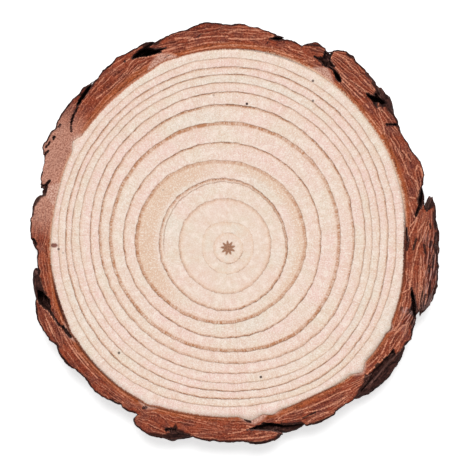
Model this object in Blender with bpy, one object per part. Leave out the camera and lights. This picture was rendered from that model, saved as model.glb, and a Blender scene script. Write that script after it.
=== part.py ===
"""A slice of a pine trunk with its bark, lying on its lower sawn face.

Angles are in degrees, anticlockwise from +X as seen from above, round the pith. Heights in the
bark are measured outwards from the wood, square to it or nearly so. Lengths are in metres, apart
from the tables, which are in millimetres.
"""

import math
import random
from collections import namedtuple

import bmesh
import bpy

MM = 0.001

# Driving dimensions
THICKNESS = 12 * MM
PITH = (-1.9 * MM, -4.3 * MM)
BARK_GAP = 0.3 * MM
WEB = 1.5 * MM

# Radius of the wood every 15 degrees, in millimetres
WOOD_RADII = (
    46.9, 47.8, 49.0, 50.1, 51.5, 52.5, 52.8, 52.2, 50.9, 49.5, 48.2, 47.0,
    46.8, 47.1, 47.2, 46.8, 46.6, 45.3, 44.7, 44.8, 45.2, 46.6, 47.5, 47.3,
)

# A plate of bark is a lens between two tips. Each tip has an angle and a height, and the outer and
# inner heights are those halfway between the tips. A plate that the saw missed ends short of the
# upper face by top_gap, or short of the lower face by base_gap. A blunt plate has round ends.
Plate = namedtuple(
    "Plate",
    "start end start_height end_height outer inner top_gap base_gap blunt",
    defaults=(0, 0, False),
)

PLATES = (
    # Right
    Plate(340.5, 361, 7.0, 8.2, 9.5, 6.0),
    Plate(340.2, 374.4, 6.0, 8.3, 8.9, 2.2),
    Plate(3.5, 16.5, 0.8, 1.2, 3.2, 0.6),
    Plate(350.5, 364, 1.4, 1.2, 2.4, 0.6),
    Plate(350, 372.8, 3.0, 5.6, 6.6, 0.7),
    Plate(14.8, 30, 5.0, 5.4, 7.7, 3.4),
    Plate(33, 46.5, 5.4, 6.6, 7.3, 3.2),
    Plate(12.6, 43.2, 4.0, 4.6, 6.3, 1.6, 0, 0, True),
    Plate(39, 47.8, 7.2, 8.2, 9.2, 6.4, 0.6),
    Plate(54.5, 62.4, 8.5, 7.2, 9.6, 7.2),
    Plate(45.5, 62.8, 6.6, 6.4, 9.2, 3.7, 0, 0, True),
    Plate(35, 60.5, 2.2, 2.6, 4.6, 0.7),
    # Top
    Plate(62.9, 70, 6.0, 4.6, 7.3, 3.0, 0, 0, True),
    Plate(66, 76, 2.6, 2.8, 4.0, 1.9),
    Plate(64, 83, 2.6, 3.4, 5.5, 0.7),
    Plate(91, 100.8, 6.0, 5.9, 7.5, 4.5, 0, 0, True),
    Plate(77, 112.5, 5.3, 5.6, 7.0, 2.5, 0, 0, True),
    Plate(77, 110.5, 2.0, 3.0, 3.9, 0.6),
    Plate(109.6, 127.3, 6.2, 6.4, 7.6, 5.3, 0, 0, True),
    Plate(110.5, 121, 2.0, 1.8, 4.5, 0.6),
    Plate(126.5, 147, 6.6, 7.1, 7.9, 5.2),
    Plate(113, 144, 3.8, 2.4, 6.4, 0.6, 0, 0, True),
    # Left
    Plate(145.2, 153.8, 6.8, 6.6, 8.0, 5.6, 0, 0, True),
    Plate(138, 162.2, 5.0, 5.0, 6.3, 0.6, 0, 0, True),
    Plate(164, 181, 4.6, 3.6, 6.3, 0.6, 0, 0, True),
    Plate(157, 170, 3.0, 3.2, 4.2, 0.6),
    Plate(185.8, 196.4, 4.7, 5.2, 6.3, 3.4, 0.8, 0, True),
    Plate(194.4, 211, 5.2, 4.4, 6.9, 2.4, 0, 0, True),
    Plate(209.5, 218.6, 5.0, 4.6, 6.0, 3.6, 0, 0, True),
    Plate(220.5, 238, 4.2, 3.0, 5.1, 2.6),
    Plate(200, 241, 3.4, 2.0, 4.7, 1.4),
    Plate(178, 199, 3.0, 1.8, 4.1, 0.6),
    Plate(204, 244, 1.2, 1.4, 2.6, 0.6),
    # Bottom
    Plate(227, 245, 1.2, 3.4, 4.0, 0.6),
    Plate(240.9, 253, 5.3, 6.4, 7.9, 1.6, 0, 0, True),
    Plate(247.5, 260, 7.8, 5.6, 8.7, 4.4, 1.6),
    Plate(238, 270, 1.8, 3.2, 5.2, 0.6),
    Plate(275, 285.6, 6.6, 6.8, 8.1, 5.0, 0, 0, True),
    Plate(253.5, 286.5, 5.0, 6.6, 7.1, 3.2, 0, 0, True),
    Plate(252, 282, 0.8, 2.2, 4.6, 0.6),
    Plate(282.5, 296, 5.2, 5.6, 7.8, 3.0, 2.2),
    Plate(293.4, 303.4, 6.4, 6.6, 7.5, 5.0, 0, 0, True),
    Plate(281.8, 312, 2.2, 4.2, 6.4, 2.0),
    Plate(286, 319, 1.2, 3.8, 6.4, 0.6),
    # Lower right
    Plate(316, 331.6, 5.7, 6.3, 5.8, 5.0),
    Plate(309, 331, 6.0, 6.2, 8.6, 5.2, 1.4, 0, True),
    Plate(312, 331, 4.8, 5.2, 6.2, 3.2, 2.2),
    Plate(326.8, 337, 3.4, 3.8, 4.6, 2.3),
    Plate(327.4, 342, 5.4, 5.2, 6.6, 1.9, 0, 0, True),
    Plate(315.5, 333.6, 2.8, 2.2, 3.9, 0.6),
    Plate(334.5, 347.4, 2.2, 2.0, 3.4, 0.6),
    # Plates that show only below the upper face
    Plate(8, 22, 4.5, 5.0, 7.4, 3.0, 3.0, 2.0),
    Plate(38, 51, 4.4, 4.8, 8.0, 3.0, 3.5, 3.0),
    Plate(102, 122, 3.4, 4.4, 7.2, 2.0, 4.0, 1.0),
    Plate(187, 204, 2.8, 2.4, 6.0, 1.0, 4.0, 3.0),
    Plate(271, 296, 2.4, 4.4, 6.4, 1.0, 4.0, 3.0),
    Plate(352, 368, 6.6, 6.4, 8.9, 5.0, 4.0, 2.2),
    Plate(16, 33, 5.0, 5.0, 7.4, 4.0, 5.5, 0),
    Plate(30, 44, 5.0, 5.4, 7.4, 4.0, 3.0, 3.6),
    Plate(47, 57, 6.8, 7.2, 9.3, 5.0, 7.5, 0),
    Plate(58, 68, 5.0, 5.0, 8.5, 2.4, 2.5, 0),
    Plate(66, 78, 4.4, 4.0, 5.9, 3.0, 4.0, 0),
    Plate(71.5, 81, 4.6, 4.6, 6.5, 3.0, 1.6, 0),
    Plate(83, 97, 5.0, 5.2, 7.3, 4.0, 4.6, 1.8),
    Plate(98, 111, 5.0, 5.2, 6.9, 4.5, 6.0, 0),
    Plate(119, 134, 5.4, 5.6, 7.4, 4.5, 7.0, 0),
    Plate(136, 149, 5.6, 5.6, 7.9, 4.5, 3.4, 3.0),
    Plate(147, 160, 4.4, 3.8, 6.6, 3.0, 5.0, 0),
    Plate(167, 180, 3.8, 2.6, 6.1, 3.0, 6.8, 0),
    Plate(178, 191, 2.6, 2.6, 4.2, 2.0, 4.5, 0),
    Plate(198, 211, 4.2, 4.0, 6.6, 3.0, 5.2, 0),
    Plate(213, 227, 3.2, 3.2, 5.1, 2.4, 3.2, 3.4),
    Plate(226, 241, 2.4, 2.2, 4.1, 1.6, 6.0, 0),
    Plate(250, 262, 4.4, 4.4, 7.0, 3.0, 6.5, 0),
    Plate(263, 277, 5.4, 5.8, 7.8, 4.4, 4.4, 2.6),
    Plate(299, 312, 4.4, 4.0, 6.6, 3.0, 3.8, 3.2),
    Plate(335, 346, 4.6, 5.0, 7.2, 3.0, 4.5, 0),
)

# How far out the bark is one solid mass behind its plates, every 10 degrees, in millimetres
BED_HEIGHTS = (
    4.5, 4.4, 4.8, 4.5, 4.4, 4.4, 3.4, 4.4, 4.0, 4.4, 4.4, 3.4,
    4.8, 5.2, 4.8, 4.8, 3.9, 4.2, 3.4, 3.2, 2.9, 3.2, 3.5, 3.0,
    2.6, 3.8, 4.3, 4.4, 3.0, 3.4, 4.4, 4.2, 3.2, 4.2, 3.8, 3.6,
)

# A fissure is a gap in the form of a plate. It is open at both faces, with a web of bark across it
# at this depth below the upper face.
Fissure = namedtuple("Fissure", "start end start_height end_height outer inner depth")
FISSURES = (
    Fissure(12.2, 17.8, 4.5, 6.3, 6.0, 4.7, 7.5),
    Fissure(42.3, 47.9, 6.9, 4.5, 6.3, 5.0, 6.0),
    Fissure(55.5, 59.6, 2.2, 3.6, 3.5, 2.0, 5.0),
    Fissure(61.3, 64.0, 5.0, 6.0, 9.0, 2.6, 4.5),
    Fissure(73.2, 79.2, 5.7, 3.7, 5.2, 4.3, 5.5),
    Fissure(108.8, 116.9, 2.9, 5.1, 5.8, 3.8, 8.0),
    Fissure(128.5, 136.8, 6.8, 5.7, 6.6, 5.7, 5.0),
    Fissure(192.2, 199.3, 4.7, 3.0, 5.0, 2.4, 7.0),
    Fissure(280.8, 288.5, 2.6, 5.0, 4.3, 3.4, 6.0),
    Fissure(339.2, 347.0, 5.4, 2.7, 4.6, 3.6, 6.5),
)

# How the plates change down the slice, and how rough they are
SEED = 483
MOST_LEAN_DEG = 1.2
MOST_TAPER = 0.9
ROUGHNESS = 0.2 * MM
ROUGHNESS_BELOW = 0.4 * MM
SECTION_STEP_DEG = 3.2
FEWEST_SECTION_STEPS = 5
SLICE_OVERRUN = 1 * MM
LEVEL_HEIGHT = 2.4 * MM
FEWEST_LEVELS = 3

# How a plate thins towards an end that the saw missed, and how a blunt plate's ends are rounded
END_INSET = 0.16
END_THINNING = 1.0
BLUNT_POWER = 0.6

WOOD_POINTS = 144


def point_at(angle, radius, z):
    """The point this far from the pith, at this angle in degrees."""
    turn = math.radians(angle)
    return (PITH[0] + radius * math.cos(turn), PITH[1] + radius * math.sin(turn), z)


def periodic_curve(values, angle):
    """A smooth closed curve through values that are evenly spaced round the circle."""
    count = len(values)
    place = angle / 360 * count
    first = math.floor(place)
    u = place - first
    before, here, there, after = (values[(first + k) % count] for k in (-1, 0, 1, 2))
    slope = (there - before) / 2
    next_slope = (after - here) / 2
    return (
        here * (2 * u**3 - 3 * u**2 + 1)
        + slope * (u**3 - 2 * u**2 + u)
        + there * (3 * u**2 - 2 * u**3)
        + next_slope * (u**3 - u**2)
    )


def wood_radius(angle):
    """The wood's radius at this angle."""
    return periodic_curve(WOOD_RADII, angle) * MM


def new_object(name, mesh_data):
    """A mesh object made from a bmesh, which is then freed."""
    bmesh.ops.recalc_face_normals(mesh_data, faces=mesh_data.faces)
    mesh = bpy.data.meshes.new(name)
    mesh_data.to_mesh(mesh)
    mesh_data.free()
    made = bpy.data.objects.new(name, mesh)
    bpy.context.scene.collection.objects.link(made)
    return made


def loft(name, sections):
    """A closed solid through sections, which are rings of as many points each."""
    mesh_data = bmesh.new()
    rings = [[mesh_data.verts.new(point) for point in section] for section in sections]
    for lower, upper in zip(rings, rings[1:]):
        for k in range(len(lower)):
            after = (k + 1) % len(lower)
            mesh_data.faces.new((lower[k], lower[after], upper[after], upper[k]))
    mesh_data.faces.new(rings[0])
    mesh_data.faces.new(rings[-1])
    return new_object(name, mesh_data)


def wood_ring(z, gap=0, heights=(0,)):
    """The wood's outline, moved outwards by a gap and by these heights, as a ring of points."""
    points = []
    for k in range(WOOD_POINTS):
        angle = 360 * k / WOOD_POINTS
        outwards = gap + periodic_curve(heights, angle) * MM
        points.append(point_at(angle, wood_radius(angle) + outwards, z))
    return points


def wood_disc():
    """The wood, sawn and sanded flat above and below."""
    return loft("wood", [wood_ring(0), wood_ring(THICKNESS)])


def bark_bed():
    """The solid mass of bark, which carries every plate. It overruns both faces."""
    low = -SLICE_OVERRUN
    high = THICKNESS + SLICE_OVERRUN
    outlines = (
        wood_ring(low, gap=BARK_GAP),
        wood_ring(low, heights=BED_HEIGHTS),
        wood_ring(high, heights=BED_HEIGHTS),
        wood_ring(high, gap=BARK_GAP),
    )
    mesh_data = bmesh.new()
    rings = [[mesh_data.verts.new(point) for point in outline] for outline in outlines]
    for ring, following in zip(rings, rings[1:] + rings[:1]):
        for k in range(WOOD_POINTS):
            after = (k + 1) % WOOD_POINTS
            mesh_data.faces.new((ring[k], ring[after], following[after], following[k]))
    return new_object("bark", mesh_data)


def thinned(plate):
    """The same plate where it ends short of a face of the slice."""
    inset = (plate.end - plate.start) * END_INSET
    return plate._replace(
        start=plate.start + inset, end=plate.end - inset, outer=plate.outer - END_THINNING
    )


def plate_section(plate, steps, depth, z, lean, taper, rough):
    """The outline of a plate at one level. Depth runs from 0 at the upper face to 1 at the lower."""
    power = BLUNT_POWER if plate.blunt else 1.0
    width = 1 - taper * max(0, depth)
    uneven = ROUGHNESS + (ROUGHNESS_BELOW - ROUGHNESS) * max(0, depth)
    outer_side = []
    inner_side = []
    for k in range(steps + 1):
        u = k / steps
        angle = plate.start + (plate.end - plate.start) * u + lean * depth
        chord = plate.start_height + (plate.end_height - plate.start_height) * u
        middle = (plate.start_height + plate.end_height) / 2
        bulge = (4 * u * (1 - u)) ** power
        outer = (chord + (plate.outer - middle) * bulge * width) * MM
        inner = (chord + (plate.inner - middle) * bulge) * MM
        if 0 < k < steps:
            outer += rough.uniform(-uneven, uneven)
            inner_side.append(point_at(angle, wood_radius(angle) + inner, z))
        outer_side.append(point_at(angle, wood_radius(angle) + outer, z))
    return outer_side + inner_side[::-1]


def bark_plate(number, plate):
    """One plate, which leans and tapers a little on its way down the slice."""
    rough = random.Random(SEED + number)
    lean = rough.uniform(-MOST_LEAN_DEG, MOST_LEAN_DEG)
    taper = rough.uniform(0, MOST_TAPER)
    low = plate.base_gap * MM if plate.base_gap else -SLICE_OVERRUN
    high = THICKNESS - plate.top_gap * MM if plate.top_gap else THICKNESS + SLICE_OVERRUN
    steps = max(FEWEST_SECTION_STEPS, round((plate.end - plate.start) / SECTION_STEP_DEG))
    levels = max(FEWEST_LEVELS, 1 + round((high - low) / LEVEL_HEIGHT))
    sections = []
    for level in range(levels):
        z = low + (high - low) * level / (levels - 1)
        depth = 1 - z / THICKNESS
        missed = (level == 0 and plate.base_gap) or (level == levels - 1 and plate.top_gap)
        shape = thinned(plate) if missed else plate
        sections.append(plate_section(shape, steps, depth, z, lean, taper, rough))
    return loft(f"plate_{number}", sections)


def fissure_gaps(number, fissure):
    """The two gaps that a fissure makes, above and below its web."""
    rough = random.Random(SEED - number)
    plate = Plate(*fissure[:6])
    steps = max(FEWEST_SECTION_STEPS, round((plate.end - plate.start) / SECTION_STEP_DEG))
    floor = THICKNESS - fissure.depth * MM
    spans = ((floor, THICKNESS + SLICE_OVERRUN), (-SLICE_OVERRUN, floor - WEB))
    gaps = []
    for low, high in spans:
        sections = [
            plate_section(plate, steps, 1 - z / THICKNESS, z, 0, 0, rough) for z in (low, high)
        ]
        gaps.append(loft(f"fissure_{number}", sections))
    return gaps


def apply_boolean(target, operation, solver="EXACT", **operand):
    """Cuts target with a Boolean and keeps the result as its mesh."""
    modifier = target.modifiers.new(operation.title(), "BOOLEAN")
    modifier.operation = operation
    modifier.solver = solver
    for name, value in operand.items():
        setattr(modifier, name, value)
    graph = bpy.context.evaluated_depsgraph_get()
    result = bpy.data.meshes.new_from_object(target.evaluated_get(graph))
    target.modifiers.clear()
    target.data = result


def trimmed_to_slice(bark):
    """Saws the bark flush with both faces of the wood. The exact solver loses every face here."""
    reach = 2 * max(WOOD_RADII) * MM
    corners = [(-reach, -reach), (reach, -reach), (reach, reach), (-reach, reach)]
    slab = loft("slab", [[(x, y, z) for x, y in corners] for z in (0, THICKNESS)])
    apply_boolean(bark, "INTERSECT", solver="MANIFOLD", object=slab)
    bpy.data.objects.remove(slab)


def linked_faces(first, reached):
    """Every face joined to the first one through shared edges. Adds them to reached."""
    found = [first]
    reached.add(first)
    for face in found:
        for edge in face.edges:
            for neighbour in edge.link_faces:
                if neighbour not in reached:
                    reached.add(neighbour)
                    found.append(neighbour)
    return found


def keep_outside_shell(part):
    """Fills the hollows that the plates seal between them, and drops any loose scrap."""
    mesh_data = bmesh.new()
    mesh_data.from_mesh(part.data)
    reached = set()
    shells = [linked_faces(face, reached) for face in mesh_data.faces if face not in reached]
    outside = max(shells, key=len)
    for shell in shells:
        if shell is not outside:
            points = list({point for face in shell for point in face.verts})
            bmesh.ops.delete(mesh_data, geom=points, context="VERTS")
    mesh_data.to_mesh(part.data)
    mesh_data.free()


def combine(target, operation, solids):
    """Fuses these solids to target or cuts them from it, all at once, and removes them."""
    group = bpy.data.collections.new("solids")
    bpy.context.scene.collection.children.link(group)
    for solid in solids:
        bpy.context.scene.collection.objects.unlink(solid)
        group.objects.link(solid)
    apply_boolean(target, operation, operand_type="COLLECTION", collection=group)
    for solid in solids:
        bpy.data.objects.remove(solid)
    bpy.data.collections.remove(group)


def bark_ring():
    """The bark: its solid mass with every plate fused to it, and the fissures cut out."""
    bark = bark_bed()
    combine(bark, "UNION", [bark_plate(number, plate) for number, plate in enumerate(PLATES)])
    gaps = [gap for number, fissure in enumerate(FISSURES) for gap in fissure_gaps(number, fissure)]
    combine(bark, "DIFFERENCE", gaps)
    trimmed_to_slice(bark)
    keep_outside_shell(bark)
    return bark


def finish(part, name, colour, roughness):
    """Gives a part its one material."""
    material = bpy.data.materials.new(name)
    material.use_nodes = True
    shader = material.node_tree.nodes["Principled BSDF"]
    shader.inputs["Base Color"].default_value = (*colour, 1)
    shader.inputs["Roughness"].default_value = roughness
    shader.inputs["Metallic"].default_value = 0
    part.data.materials.clear()
    part.data.materials.append(material)


def main():
    for leftover in list(bpy.data.objects):
        bpy.data.objects.remove(leftover)
    finish(wood_disc(), "pale_pine_wood", (0.80, 0.58, 0.42), 0.7)
    finish(bark_ring(), "red_brown_bark", (0.24, 0.08, 0.045), 0.9)


main()
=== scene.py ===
"""The looks of a slice of a pine trunk: sawn wood with its growth rings, and scaly bark round it.

Angles are in degrees, anticlockwise from +X as seen from above, round the pith. Heights in the
bark are measured outwards from the wood. Lengths are in millimetres until a mesh is made of them.
"""

import itertools
import math
import random
from collections import namedtuple

import bpy
import numpy as np
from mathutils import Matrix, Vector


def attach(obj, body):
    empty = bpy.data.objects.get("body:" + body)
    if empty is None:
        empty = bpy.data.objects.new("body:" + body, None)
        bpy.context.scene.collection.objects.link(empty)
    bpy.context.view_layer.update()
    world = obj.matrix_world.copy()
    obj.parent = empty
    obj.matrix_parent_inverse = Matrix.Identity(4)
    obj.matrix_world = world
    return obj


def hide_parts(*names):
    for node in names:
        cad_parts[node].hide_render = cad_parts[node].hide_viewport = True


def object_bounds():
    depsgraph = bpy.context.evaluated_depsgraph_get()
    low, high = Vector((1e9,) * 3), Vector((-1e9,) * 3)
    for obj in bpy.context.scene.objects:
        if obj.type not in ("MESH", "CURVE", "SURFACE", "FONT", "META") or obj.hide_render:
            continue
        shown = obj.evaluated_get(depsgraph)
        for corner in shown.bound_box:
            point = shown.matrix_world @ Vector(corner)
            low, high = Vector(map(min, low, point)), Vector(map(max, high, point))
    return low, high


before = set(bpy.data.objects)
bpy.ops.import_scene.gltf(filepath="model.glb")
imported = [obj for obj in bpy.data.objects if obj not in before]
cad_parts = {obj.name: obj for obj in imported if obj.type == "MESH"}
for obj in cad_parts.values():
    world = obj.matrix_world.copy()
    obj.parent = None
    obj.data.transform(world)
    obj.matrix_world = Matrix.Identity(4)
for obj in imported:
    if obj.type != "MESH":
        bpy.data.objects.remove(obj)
cad_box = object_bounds()

MM = 0.001

# What the photograph takes in at the upper face, and where its centre is
VIEW_WIDTH = 124.55
VIEW_CENTRE = (-0.05, -0.86)

# The slice, with the same driving dimensions as its solids
THICKNESS = 12.0
PITH = (-1.9, -4.3)
WEB = 1.5
WOOD_RADII = (
    46.9, 47.8, 49.0, 50.1, 51.5, 52.5, 52.8, 52.2, 50.9, 49.5, 48.2, 47.0,
    46.8, 47.1, 47.2, 46.8, 46.6, 45.3, 44.7, 44.8, 45.2, 46.6, 47.5, 47.3,
)

# A growth ring: its radius every 45 degrees from +X, how dark its line is at 0, 90, 180 and 270
# degrees from 0 to 1, and how wide its line is
Ring = namedtuple("Ring", "radii darkness width")
RINGS = [Ring(*row) for row in (
    ((4.0, 4.0, 4.1, 4.0, 4.0, 4.0, 4.2, 4.1), (0.35, 0.2, 0.15, 0.4), 0.3),
    ((6.8, 7.3, 6.9, 7.5, 6.9, 7.0, 6.9, 6.8), (0.15, 0.2, 0.12, 0.35), 0.3),
    ((11.4, 12.2, 13.1, 13.6, 13.0, 12.4, 12.2, 11.4), (0.4, 0.35, 0.4, 0.35), 0.7),
    ((15.8, 16.6, 18.4, 19.0, 18.2, 17.0, 16.6, 15.8), (0.85, 0.75, 0.75, 0.7), 0.7),
    ((20.8, 22.0, 23.2, 25.1, 24.6, 21.7, 20.1, 19.4), (0.65, 0.55, 0.8, 0.85), 1.2),
    ((24.6, 26.6, 28.0, 28.7, 27.7, 24.8, 23.9, 24.0), (0.75, 0.85, 0.75, 0.75), 0.45),
    ((29.8, 32.2, 33.5, 33.3, 31.4, 28.7, 27.6, 29.4), (0.75, 0.85, 0.85, 0.9), 1.3),
    ((33.4, 36.2, 38.1, 36.9, 34.0, 31.4, 30.6, 32.9), (0.75, 0.85, 0.7, 0.55), 0.6),
    ((36.3, 39.3, 41.5, 39.5, 36.5, 34.5, 33.4, 35.5), (0.45, 0.75, 0.65, 0.6), 0.4),
    ((38.2, 41.5, 43.9, 42.1, 39.2, 36.9, 35.9, 38.0), (0.35, 0.5, 0.4, 0.35), 0.35),
    ((40.2, 43.6, 46.1, 44.0, 41.4, 39.2, 38.0, 40.0), (0.5, 0.7, 0.45, 0.8), 0.4),
    ((42.4, 46.0, 48.1, 45.7, 43.0, 41.7, 40.1, 42.5), (0.7, 0.75, 0.75, 0.75), 0.55),
    ((44.6, 48.0, 50.4, 47.6, 45.0, 44.0, 42.1, 44.2), (0.45, 0.4, 0.35, 0.45), 0.35),
)]

# Where the wood rises between two plates: angle, half width in degrees, height
RISES = (
    (109.3, 4.2, 0.4), (145.5, 2.9, 1.2), (208.0, 3.4, 0.3), (243.0, 3.2, 0.5), (277.6, 4.4, 1.3),
    (284.8, 3.2, 0.8), (317.3, 3.2, 1.5), (333.7, 2.1, 0.6),
)

# Where pale tissue reaches into the bark, in the same terms
TISSUE = (
    (61.2, 4.4, 3.1), (109.6, 5.0, 3.0), (145.3, 3.6, 2.3), (162.6, 4.0, 4.2), (208.0, 4.4, 1.7),
    (243.0, 3.8, 1.7), (278.6, 5.4, 2.8), (286.0, 3.0, 1.3), (317.2, 3.6, 2.5), (333.7, 2.2, 1.4),
)

# How deep the dark crust goes in from the rim of a sawn face, every 5 degrees
CRUST_DEPTHS = (
    1.2, 0.6, 0.7, 0.6, 0.3, 0.15, 0.25, 0.3, 0.9, 1.2, 0.35, 0.5, 0.35, 0.3, 0.15, 0.5, 0.2, 0.35,
    0.25, 0.35, 0.4, 0.3, 0.9, 0.35, 0.3, 0.2, 0.5, 0.4, 0.4, 0.4, 0.5, 0.15, 0.25, 1.4, 0.35, 0.3,
    0.5, 0.12, 0.9, 0.5, 0.3, 0.4, 0.45, 0.5, 0.3, 0.4, 0.3, 0.35, 0.6, 0.4, 1.2, 1.0, 0.5, 0.6,
    0.6, 0.6, 0.7, 0.7, 0.6, 0.5, 0.6, 0.3, 0.35, 1.0, 1.0, 0.8, 0.3, 0.3, 1.4, 1.5, 0.6, 0.7,
)

# How far out the orange inner bark reaches, every 15 degrees
WARM_HEIGHTS = (
    0.4, 1.7, 1.8, 1.5, 1.2, 1.5, 1.6, 1.3, 1.7, 1.2, 0.8, 0.8,
    0.8, 1.2, 1.1, 1.1, 1.2, 1.3, 0.9, 1.6, 1.4, 1.0, 1.1, 0.5,
)

# Where the cream of the wood gives way to the bark's colours, every 15 degrees, from the join
CREAM_HEIGHTS = (
    -0.35, 0.6, 0.5, 0.3, 0.5, 0.4, -0.25, -0.2, -0.6, -0.45, 0.3, 0.25,
    0.35, -0.4, -0.5, -0.1, -0.4, -0.35, 0.05, 0.2, -0.2, 0.5, 0.0, -0.25,
)

# How dark the line between wood and bark is, every 15 degrees
JOIN_DARKNESS = (
    1.0, 0.2, 0.0, 0.1, 0.1, 0.5, 0.5, 0.2, 0.2, 0.2, 0.0, 0.1,
    -0.6, 1.0, 0.8, 0.6, 0.4, 0.2, 0.1, 0.0, 0.2, 0.1, 0.3, 0.4,
)

# A plate of bark is a lens between two tips. Each tip has an angle and a height, and the outer and
# inner heights are those halfway between the tips. A plate that the saw missed ends short of the
# upper face by top_gap, or short of the lower face by base_gap. A blunt plate has round ends.
Plate = namedtuple(
    "Plate",
    "start end start_height end_height outer inner top_gap base_gap blunt",
    defaults=(0, 0, False),
)

PLATES = [Plate(*row) for row in (
    # Right
    (340.5, 361, 7.0, 8.2, 9.5, 6.0), (340.2, 374.4, 6.0, 8.3, 8.9, 2.2),
    (3.5, 16.5, 0.8, 1.2, 3.2, 0.6), (350.5, 364, 1.4, 1.2, 2.4, 0.6), (350, 372.8, 3.0, 5.6, 6.6, 0.7),
    (14.8, 30, 5.0, 5.4, 7.7, 3.4), (33, 46.5, 5.4, 6.6, 7.3, 3.2),
    (12.6, 43.2, 4.0, 4.6, 6.3, 1.6, 0, 0, True), (39, 47.8, 7.2, 8.2, 9.2, 6.4, 0.6),
    (54.5, 62.4, 8.5, 7.2, 9.6, 7.2), (45.5, 62.8, 6.6, 6.4, 9.2, 3.7, 0, 0, True),
    (35, 60.5, 2.2, 2.6, 4.6, 0.7),
    # Top
    (62.9, 70, 6.0, 4.6, 7.3, 3.0, 0, 0, True), (66, 76, 2.6, 2.8, 4.0, 1.9),
    (64, 83, 2.6, 3.4, 5.5, 0.7), (91, 100.8, 6.0, 5.9, 7.5, 4.5, 0, 0, True),
    (77, 112.5, 5.3, 5.6, 7.0, 2.5, 0, 0, True), (77, 110.5, 2.0, 3.0, 3.9, 0.6),
    (109.6, 127.3, 6.2, 6.4, 7.6, 5.3, 0, 0, True), (110.5, 121, 2.0, 1.8, 4.5, 0.6),
    (126.5, 147, 6.6, 7.1, 7.9, 5.2), (113, 144, 3.8, 2.4, 6.4, 0.6, 0, 0, True),
    # Left
    (145.2, 153.8, 6.8, 6.6, 8.0, 5.6, 0, 0, True), (138, 162.2, 5.0, 5.0, 6.3, 0.6, 0, 0, True),
    (164, 181, 4.6, 3.6, 6.3, 0.6, 0, 0, True), (157, 170, 3.0, 3.2, 4.2, 0.6),
    (185.8, 196.4, 4.7, 5.2, 6.3, 3.4, 0.8, 0, True), (194.4, 211, 5.2, 4.4, 6.9, 2.4, 0, 0, True),
    (209.5, 218.6, 5.0, 4.6, 6.0, 3.6, 0, 0, True), (220.5, 238, 4.2, 3.0, 5.1, 2.6),
    (200, 241, 3.4, 2.0, 4.7, 1.4), (178, 199, 3.0, 1.8, 4.1, 0.6), (204, 244, 1.2, 1.4, 2.6, 0.6),
    # Bottom
    (227, 245, 1.2, 3.4, 4.0, 0.6), (240.9, 253, 5.3, 6.4, 7.9, 1.6, 0, 0, True),
    # The plate from 247.5 to 260 that the saw missed is dark crust put where the contact shadow falls
    # under the bottom rim: crust and painted shadow at once
    (247.5, 260, 7.8, 5.6, 8.7, 4.4, 1.6), (238, 270, 1.8, 3.2, 5.2, 0.6),
    (275, 285.6, 6.6, 6.8, 8.1, 5.0, 0, 0, True), (253.5, 286.5, 5.0, 6.6, 7.1, 3.2, 0, 0, True),
    (252, 282, 0.8, 2.2, 4.6, 0.6), (282.5, 296, 5.2, 5.6, 7.8, 3.0, 2.2),
    (293.4, 303.4, 6.4, 6.6, 7.5, 5.0, 0, 0, True), (281.8, 312, 2.2, 4.2, 6.4, 2.0),
    (286, 319, 1.2, 3.8, 6.4, 0.6),
    # Lower right
    (316, 331.6, 5.7, 6.3, 5.8, 5.0), (309, 331, 6.0, 6.2, 8.6, 5.2, 1.4, 0, True),
    (312, 331, 4.8, 5.2, 6.2, 3.2, 2.2), (326.8, 337, 3.4, 3.8, 4.6, 2.3),
    (327.4, 342, 5.4, 5.2, 6.6, 1.9, 0, 0, True), (315.5, 333.6, 2.8, 2.2, 3.9, 0.6),
    (334.5, 347.4, 2.2, 2.0, 3.4, 0.6),
    # Plates that show only below the upper face
    (8, 22, 4.5, 5.0, 7.4, 3.0, 3.0, 2.0), (38, 51, 4.4, 4.8, 8.0, 3.0, 3.5, 3.0),
    (102, 122, 3.4, 4.4, 7.2, 2.0, 4.0, 1.0), (187, 204, 2.8, 2.4, 6.0, 1.0, 4.0, 3.0),
    (271, 296, 2.4, 4.4, 6.4, 1.0, 4.0, 3.0), (352, 368, 6.6, 6.4, 8.9, 5.0, 4.0, 2.2),
    (16, 33, 5.0, 5.0, 7.4, 4.0, 5.5, 0), (30, 44, 5.0, 5.4, 7.4, 4.0, 3.0, 3.6),
    (47, 57, 6.8, 7.2, 9.3, 5.0, 7.5, 0), (58, 68, 5.0, 5.0, 8.5, 2.4, 2.5, 0),
    (66, 78, 4.4, 4.0, 5.9, 3.0, 4.0, 0), (71.5, 81, 4.6, 4.6, 6.5, 3.0, 1.6, 0),
    (83, 97, 5.0, 5.2, 7.3, 4.0, 4.6, 1.8), (98, 111, 5.0, 5.2, 6.9, 4.5, 6.0, 0),
    (119, 134, 5.4, 5.6, 7.4, 4.5, 7.0, 0), (136, 149, 5.6, 5.6, 7.9, 4.5, 3.4, 3.0),
    (147, 160, 4.4, 3.8, 6.6, 3.0, 5.0, 0), (167, 180, 3.8, 2.6, 6.1, 3.0, 6.8, 0),
    (178, 191, 2.6, 2.6, 4.2, 2.0, 4.5, 0), (198, 211, 4.2, 4.0, 6.6, 3.0, 5.2, 0),
    (213, 227, 3.2, 3.2, 5.1, 2.4, 3.2, 3.4), (226, 241, 2.4, 2.2, 4.1, 1.6, 6.0, 0),
    (250, 262, 4.4, 4.4, 7.0, 3.0, 6.5, 0), (263, 277, 5.4, 5.8, 7.8, 4.4, 4.4, 2.6),
    (299, 312, 4.4, 4.0, 6.6, 3.0, 3.8, 3.2), (335, 346, 4.6, 5.0, 7.2, 3.0, 4.5, 0),
    # Flakes that close gaps between the plates on the upper left and the upper right
    (140.5, 148.5, 5.9, 6.4, 6.8, 5.4), (53, 61, 3.6, 3.8, 4.4, 3.2),
)]

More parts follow.
